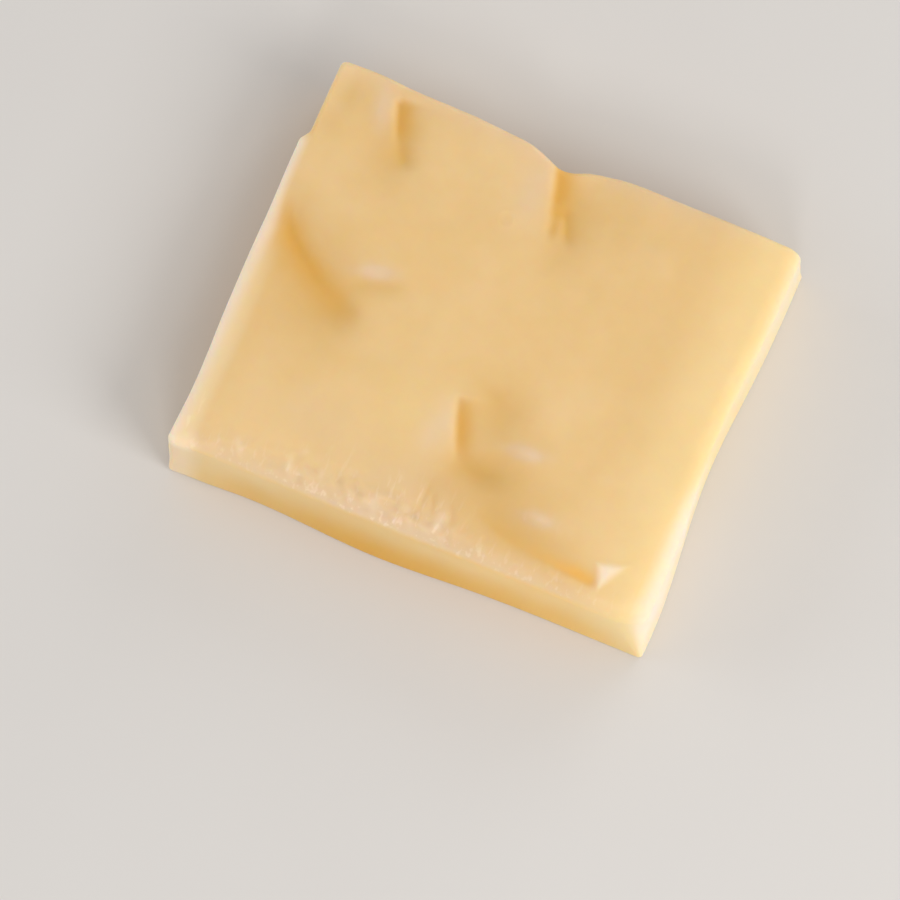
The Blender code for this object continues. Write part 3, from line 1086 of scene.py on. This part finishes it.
        # The flake carries a painted highlight; the listed ridges carry pale scratches and painted
        # highlights.
        flake = self.flake_height(curd.masses["flake"].rise(x, y)) * self.flake_left(x)
        grazes_and_highlights = curd.total(x, y, curd.grazes_and_highlights) / self.graze_height + self.flake_highlight * flake
        return {
            Mark.FOLD_SHADE: crease,
            Mark.HOLLOW_SHADE: self.hollow_shade_strength * (1.0 - shallow) * on_top,
            Mark.PAINTED_LIGHT: lit * (1.0 - crease),
            Mark.PAINTED_SHEEN: painted_sheen,
            Mark.GRAZE_AND_HIGHLIGHT: np.clip(np.maximum(grazes_and_highlights * on_top, self.rim_highlights(on_top)), 0.0, 1.0),
            Mark.PAINTED_STREAKS: painted_sheen * self.streaks_front(y),
            Mark.WALL_SHADE: side,
            Mark.PAINTED_GLOW: np.clip(painted_glow * (1.0 - right) + crease * self.lit_fold_right(x), 0.0, 1.0),
            Mark.CUT: cut,
        }


@dataclass(frozen=True)
class Lattice:
    """The points of the lattice that covers the block.

    Each has its place on the level part, -1 to 1 each way, and its turn round the edges of the
    top, which is 0 on the level part and -1 or 1 at the outermost line of an edge.
    """

    place_x: Array
    place_y: Array
    turn_x: Array
    turn_y: Array


@dataclass(frozen=True)
class CheddarBlock:
    """The block: a level top bent down at its edges, a cut wall all round and a flat underside."""

    length: float = 100.0
    width: float = 84.0
    thickness: float = 22.8
    cell: float = 0.43
    edge_rows: int = 10
    wall_rows: int = 22
    turn_rows: int = 5
    under_rows: int = 5
    under_share: float = 0.9

    top: Outline = TOP_OUTLINE
    base: Outline = BASE_OUTLINE
    curd: Curd = CHEDDAR_CURD

    left_crisp: Edge = Edge(1.4, 1.2)
    left_droop: Edge = Edge(4.8, 2.2)
    droop: Ramp = Ramp(-46.0, -30.0)
    right_crisp: Edge = Edge(3.6, 2.6)
    right_soft: Edge = Edge(7.2, 4.4)
    soft: Ramp = Ramp(-12.0, -27.0)
    front_soft: Edge = Edge(3.8, 3.4)
    front_crisp: Edge = Edge(1.5, 1.3)
    crisp: Ramp = Ramp(-38.0, -49.0)
    back_edge: Edge = Edge(1.3, 1.1)

    shoulder: Ramp = Ramp(33.0, 53.0, -0.9)
    brow: Ramp = Ramp(-34.0, -44.0, -1.1)

    wall_hollow: float = 0.1
    wall_ripples: Ripples = Ripples(count=24, height=0.06, shortest=4.0, longest=22.0, seed=5)
    ripple_stretch: float = 0.4
    base_reach: float = 0.9
    base_fall: float = 0.8
    base_corner: float = 1.0

    lip_at: Point = (-51.0, -43.5)
    lip_spread: float = 7.0
    lip_reach: float = 1.6
    lip_fall: float = 1.0

    surroundings: float = 4.0
    finish: CheeseFinish = CheeseFinish()

    def build(self) -> bpy.types.Object:
        """Model the block, shape it, mark it and dress it.

        Returns:
            The finished piece.
        """
        skin = self.blank()
        columns, rows, rings = self.addresses(skin)
        points, marks = self.shaped(columns, rows, rings)
        self.settle(skin, points)
        self.mark(skin, marks)
        skin.data.materials.append(self.finish.material())
        skin.data.shade_smooth()
        return skin

    def counts(self) -> tuple[int, int]:
        """How many cells the lattice of the top has each way, its edges included."""
        across, deep = (round(span / self.cell) for span in (self.length, self.width))
        return across + 2 * self.edge_rows, deep + 2 * self.edge_rows

    def blank(self) -> bpy.types.Object:
        """The block before it is shaped.

        Returns:
            A square lattice, with its rim drawn down in rings of unit height and then closed.
        """
        across, deep = self.counts()
        select_nothing()
        bpy.ops.mesh.primitive_grid_add(x_subdivisions=across, y_subdivisions=deep, size=1.0)
        skin = bpy.context.object
        skin.name = "cheddar_skin"
        skin.data.name = "cheddar_skin"
        bpy.ops.object.mode_set(mode="EDIT")
        bpy.ops.mesh.select_mode(type="EDGE")
        bpy.ops.mesh.select_all(action="DESELECT")
        lattice = bmesh.from_edit_mesh(skin.data)
        for edge in lattice.edges:
            edge.select_set(edge.is_boundary)
        bmesh.update_edit_mesh(skin.data)
        for _ in range(self.wall_rows + self.turn_rows + self.under_rows):
            bpy.ops.mesh.extrude_edges_move(TRANSFORM_OT_translate={"value": (0.0, 0.0, -1.0)})
        bpy.ops.mesh.edge_face_add()
        bpy.ops.mesh.select_all(action="SELECT")
        bpy.ops.mesh.normals_make_consistent(inside=False)
        bpy.ops.object.mode_set(mode="OBJECT")
        return skin

    def addresses(self, skin: bpy.types.Object) -> tuple[Array, Array, Array]:
        """Where each vertex of the blank belongs.

        Args:
            skin: The blank.

        Returns:
            The column, the row and the ring of each vertex. Ring 0 is the whole top.
        """
        across, deep = self.counts()
        flat = np.empty(3 * len(skin.data.vertices))
        skin.data.vertices.foreach_get("co", flat)
        places = flat.reshape(-1, 3)
        columns = np.rint((places[:, 0] + 0.5) * across).astype(int)
        rows = np.rint((places[:, 1] + 0.5) * deep).astype(int)
        return columns, rows, np.rint(-places[:, 2]).astype(int)

    def lines(self, span: float) -> tuple[Array, Array]:
        """The lines of the lattice one way.

        Args:
            span: The length of the level part that way.

        Returns:
            The place of each line on the level part, and its turn round an edge, -1 to 1.
        """
        quarter = np.radians(90.0 * np.arange(self.edge_rows) / self.edge_rows)
        inner = np.linspace(-1.0, 1.0, round(span / self.cell) + 1)
        ends = np.ones(self.edge_rows)
        places = np.concatenate([-ends, inner, ends])
        turns = np.concatenate([-np.cos(quarter), 0.0 * inner, np.cos(quarter[::-1])])
        return places, turns

    def lattice(self) -> Lattice:
        """The lattice, with its square corners bent round.

        Returns:
            All of its points.
        """
        places_x, turns_x = self.lines(self.length)
        places_y, turns_y = self.lines(self.width)
        place_x, place_y = np.meshgrid(places_x, places_y, indexing="ij")
        turn_x, turn_y = np.meshgrid(turns_x, turns_y, indexing="ij")
        round_x = turn_x * np.sqrt(1.0 - turn_y * turn_y / 2.0)
        round_y = turn_y * np.sqrt(1.0 - turn_x * turn_x / 2.0)
        return Lattice(place_x, place_y, round_x, round_y)

    def level(self, grid: Lattice) -> tuple[Array, Array]:
        """Where the points of the lattice would be on a plain block, along it and across it."""
        return grid.place_x * self.length / 2.0, grid.place_y * self.width / 2.0

    def left_edge(self, y: Array) -> tuple[Array, Array]:
        """Reach and fall of the left-hand edge's rounding, which change along it."""
        droop = self.top.left.ledge.share(y) * self.droop(y)
        return self.left_crisp.towards(self.left_droop, droop)

    def right_edge(self, y: Array) -> tuple[Array, Array]:
        """Reach and fall of the right-hand edge's rounding, which is softer towards the front."""
        return self.right_crisp.towards(self.right_soft, self.soft(y))

    def front_edge(self, x: Array) -> tuple[Array, Array]:
        """Reach and fall of the front edge's rounding, which is crisp at its left-hand end."""
        return self.front_soft.towards(self.front_crisp, self.crisp(x))

    def between(self, place: Array, turn: Array, sides: Pair, reach: Pair) -> Array:
        """Position along one axis between the two sides, edges included.

        Args:
            place: The place on the level part, -1 to 1.
            turn: The turn round an edge, -1 to 1.
            sides: The distances of the lower and the upper side from the middle.
            reach: The reaches of their edges.

        Returns:
            The positions.
        """
        inner = mix(reach[0] - sides[0], sides[1] - reach[1], (place + 1.0) / 2.0)
        return inner + turn * np.where(turn > 0.0, reach[1], reach[0])

    def plan(self, grid: Lattice, outline: Outline, ends: Pair, flanks: Pair) -> Pair:
        """The lattice spread over an outline, seen from above.

        Args:
            grid: The lattice.
            outline: The outline.
            ends: The reaches of the left and the right edge.
            flanks: The reaches of the front and the back edge.

        Returns:
            The positions along the block and across it.
        """
        level_x, level_y = self.level(grid)
        sides_x = (outline.left.out(level_y), outline.right.out(level_y))
        sides_y = (outline.front.out(level_x), outline.back.out(level_x))
        x = self.between(grid.place_x, grid.turn_x, sides_x, ends)
        return x, self.between(grid.place_y, grid.turn_y, sides_y, flanks)

    def relief(self, x: Array, y: Array) -> Array:
        """Height of the curd over the level part of the top."""
        return self.shoulder(x) + self.brow(y) + self.curd.rise(x, y)

    def top_points(self, grid: Lattice) -> Array:
        """Every point of the top, edges included.

        Args:
            grid: The lattice.

        Returns:
            The points, as an array of columns.
        """
        level_x, level_y = self.level(grid)
        left_reach, left_fall = self.left_edge(level_y)
        right_reach, right_fall = self.right_edge(level_y)
        front_reach, front_fall = self.front_edge(level_x)
        flanks = (front_reach, self.back_edge.reach)
        x, y = self.plan(grid, self.top, (left_reach, right_reach), flanks)
        fall_x = np.where(grid.turn_x > 0.0, right_fall, left_fall)
        fall_y = np.where(grid.turn_y > 0.0, self.back_edge.fall, front_fall)
        turn = grid.turn_x**2 + grid.turn_y**2
        share_x = grid.turn_x**2 / np.maximum(turn, TINY)
        drop = mix(fall_y, fall_x, share_x) * (1.0 - np.sqrt(1.0 - np.minimum(turn, 1.0)))
        return np.stack([x, y, self.thickness + self.relief(x, y) - drop], axis=-1)

    def base_points(self, grid: Lattice) -> Array:
        """The outline of the underside in plan, before it turns up into the wall."""
        corner = (self.base_corner, self.base_corner)
        return np.stack(self.plan(grid, self.base, corner, corner), axis=-1)

    def lip_share(self, plan: Array) -> Array:
        """How much of the lifted lip each place on the underside's edge has."""
        distance = np.hypot(plan[:, 0] - self.lip_at[0], plan[:, 1] - self.lip_at[1])
        return np.exp(-((distance / self.lip_spread) ** 2))

    def inward(self, plan: Array, distance: Array) -> Array:
        """Move points of the wall towards the middle of the block."""
        shrink = 1.0 - distance / np.hypot(plan[:, 0], plan[:, 1])
        return plan * shrink[:, None]

    def wall(self, top: Array, base: Array, share: Array) -> Array:
        """Points of the wall.

        Args:
            top: The point of the top's rim over each.
            base: The point of the underside's rim below each.
            share: How far down each is, from 0 to 1.

        Returns:
            The points.
        """
        plan = mix(top[:, :2], base, share[:, None])
        height = mix(top[:, 2], self.base_fall + self.lip_fall * self.lip_share(base), share)
        ripple = self.wall_ripples.rise(plan[:, 0] - plan[:, 1], height * self.ripple_stretch)
        hollow = self.wall_hollow * np.sin(math.pi * share * share)
        plan = self.inward(plan, hollow + ripple * np.sin(math.pi * share))
        return np.column_stack([plan, height])

    def turn_up(self, base: Array, turn: Array) -> Array:
        """Points of the curve between the wall and the underside.

        Args:
            base: The point of the underside's rim at each.
            turn: How far round the curve each is, from 0 at the wall to 1.

        Returns:
            The points.
        """
        lip = self.lip_share(base)
        angle = turn * math.pi / 2.0
        plan = self.inward(base, (self.base_reach + self.lip_reach * lip) * (1.0 - np.cos(angle)))
        height = (self.base_fall + self.lip_fall * lip) * (1.0 - np.sin(angle))
        return np.column_stack([plan, height])

    def under(self, base: Array, share: Array) -> Array:
        """Points of the level underside.

        Args:
            base: The point of the underside's rim at each.
            share: How far each is on the way from its edge to its middle, from 0 to 1.

        Returns:
            The points.
        """
        edge = self.turn_up(base, np.ones(len(base)))
        edge[:, :2] *= 1.0 - share[:, None]
        return edge

    def shaped(self, columns: Array, rows: Array, rings: Array) -> tuple[Array, dict[Mark, Array]]:
        """The shape of the block.

        Args:
            columns: The column of each vertex.
            rows: Its row.
            rings: Its ring.

        Returns:
            The point of each vertex in millimetres, and its marks.
        """
        grid = self.lattice()
        whole_top = self.top_points(grid)
        sunk = self.sunk(self.curd.rise(whole_top[:, :, 0], whole_top[:, :, 1]))[columns, rows]
        top = whole_top[columns, rows]
        base = self.base_points(grid)[columns, rows]
        turn_start = self.wall_rows
        under_start = turn_start + self.turn_rows
        down = np.clip(rings / self.wall_rows, 0.0, 1.0)
        turn = np.clip((rings - turn_start) / self.turn_rows, 0.0, 1.0)
        inside = np.clip((rings - under_start) / self.under_rows, 0.0, 1.0) * self.under_share
        points = np.where(rings[:, None] > 0, self.wall(top, base, down), top)
        points = np.where(rings[:, None] > turn_start, self.turn_up(base, turn), points)
        points = np.where(rings[:, None] > under_start, self.under(base, inside), points)
        rim = np.hypot(grid.turn_x, grid.turn_y)[columns, rows]
        return points, Dressing(self.curd, top[:, 0], top[:, 1], rim, down, sunk).marks()

    def sunk(self, height: Array) -> Array:
        """How far each point of the top lies below the curd around it.

        Args:
            height: The height of the curd at each point of the lattice.

        Returns:
            The depths in millimetres, below 0 where the curd stands proud.
        """
        spread = round(self.surroundings / self.cell)
        offsets = np.arange(-3 * spread, 3 * spread + 1)
        weights = np.exp(-0.5 * (offsets / spread) ** 2)
        weights /= weights.sum()
        around = np.pad(height, 3 * spread, mode="edge")
        around = np.array([np.convolve(line, weights, mode="valid") for line in around])
        around = np.array([np.convolve(line, weights, mode="valid") for line in around.T]).T
        return around - height

    def settle(self, skin: bpy.types.Object, points: Array) -> None:
        """Give the skin its shape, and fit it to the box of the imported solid.

        Args:
            skin: The piece.
            points: The point of each vertex in millimetres.
        """
        low, high = (np.array(corner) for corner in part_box("cheddar_block"))
        lowest, highest = points.min(axis=0), points.max(axis=0)
        fitted = low + (points - lowest) * (high - low) / (highest - lowest)
        skin.data.vertices.foreach_set("co", fitted.ravel())
        skin.data.update()

    def mark(self, skin: bpy.types.Object, marks: Mapping[Mark, Array]) -> None:
        """Store the marks on the mesh, one attribute for each.

        Args:
            skin: The piece.
            marks: What each vertex carries.
        """
        for kind, values in marks.items():
            layer = skin.data.attributes.new(kind.value, "FLOAT", "POINT")
            layer.data.foreach_set("value", values.astype(np.float32))


@dataclass(frozen=True)
class Tabletop:
    """The plain floor that the block lies on."""

    size: float = 3000.0
    finish: TableFinish = TableFinish()

    def build(self) -> bpy.types.Object:
        """Model and dress the floor.

        Returns:
            The floor.
        """
        select_nothing()
        bpy.ops.mesh.primitive_plane_add(size=self.size * MM)
        table = bpy.context.object
        table.name = "pale_floor"
        table.data.materials.append(self.finish.material())
        return table


@dataclass(frozen=True)
class SoftLight:
    """A broad square light that points at the block. Its distance and size are in metres."""

    name: str
    azimuth: float
    elevation: float
    distance: float
    size: float
    power: float

    def build(self) -> bpy.types.Object:
        """Hang the light.

        Returns:
            The light.
        """
        lamp = bpy.data.lights.new(self.name, "AREA")
        lamp.shape = "SQUARE"
        lamp.size = self.size
        lamp.energy = self.power
        light = bpy.data.objects.new(self.name, lamp)
        bpy.context.scene.collection.objects.link(light)
        away = direction(self.azimuth, self.elevation)
        light.location = away * self.distance
        light.rotation_euler = away.to_track_quat("Z", "Y").to_euler()
        light.visible_camera = False
        return light


@dataclass(frozen=True)
class Studio:
    """The light round the block: a window, the walls that it lights up, a lamp and a pale room."""

    lights: tuple[SoftLight, ...] = (
        SoftLight("window", azimuth=72.0, elevation=38.0, distance=1.2, size=0.6, power=6.6),
        SoftLight("far_wall", azimuth=-80.0, elevation=18.0, distance=1.3, size=0.9, power=5.0),
        SoftLight("back_wall", azimuth=165.0, elevation=22.0, distance=1.3, size=0.8, power=3.5),
        SoftLight("front_lamp", azimuth=24.0, elevation=40.0, distance=1.3, size=0.3, power=2.4),
    )
    room: Colour = (0.94, 0.96, 1.0, 1.0)
    room_strength: float = 0.56

    def build(self) -> None:
        """Hang the lights and colour the room."""
        for light in self.lights:
            light.build()
            log.info("light %s", light.name)
        world = bpy.data.worlds.new("pale_room")
        world.use_nodes = True
        background = world.node_tree.nodes["Background"]
        background.inputs["Color"].default_value = self.room
        background.inputs["Strength"].default_value = self.room_strength
        scene = bpy.context.scene
        scene.world = world
        scene.view_settings.view_transform = "Standard"


@dataclass(frozen=True)
class ViewCamera:
    """The camera, at the place that was fitted to the block's corners.

    sideways and upwards say how far off the block's middle it looks, as parts of the distance.
    """

    elevation: float = 74.0
    azimuth: float = 22.646
    distance: float = 900.0
    lens: float = 175.74
    film: float = 36.0
    nearest: float = 0.01
    sideways: float = -0.008563
    upwards: float = -0.017778
    centre_x: float = 0.4

    def build(self) -> bpy.types.Object:
        """Place the camera.

        Returns:
            The camera, as the scene's own.
        """
        back = direction(self.azimuth, self.elevation)
        level = direction(self.azimuth + 90.0, 0.0)
        rise = back.cross(level)
        forward = (self.sideways * level + self.upwards * rise - back).normalized()
        right = (level - level.dot(forward) * forward).normalized()
        up = right.cross(forward)
        data = bpy.data.cameras.new("view_camera")
        data.lens = self.lens
        data.sensor_width = self.film
        data.clip_start = self.nearest
        camera = bpy.data.objects.new("view_camera", data)
        bpy.context.scene.collection.objects.link(camera)
        facing = Matrix((right, up, -forward)).transposed().to_4x4()
        spot = back * self.distance * MM + Vector((self.centre_x * MM, 0.0, 0.0))
        camera.matrix_world = Matrix.Translation(spot) @ facing
        bpy.context.scene.camera = camera
        return camera


def main() -> None:
    """Build the block, the floor, the light and the camera, in that order."""
    logging.basicConfig(level=logging.INFO, format="%(name)s: %(message)s")
    block = CheddarBlock().build()
    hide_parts("cheddar_block")
    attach(block, "root")
    log.info("%s: %d vertices", block.name, len(block.data.vertices))
    floor = Tabletop().build()
    log.info("%s", floor.name)
    Studio().build()
    camera = ViewCamera().build()
    log.info("%s", camera.name)


if __name__ == "__main__":
    main()
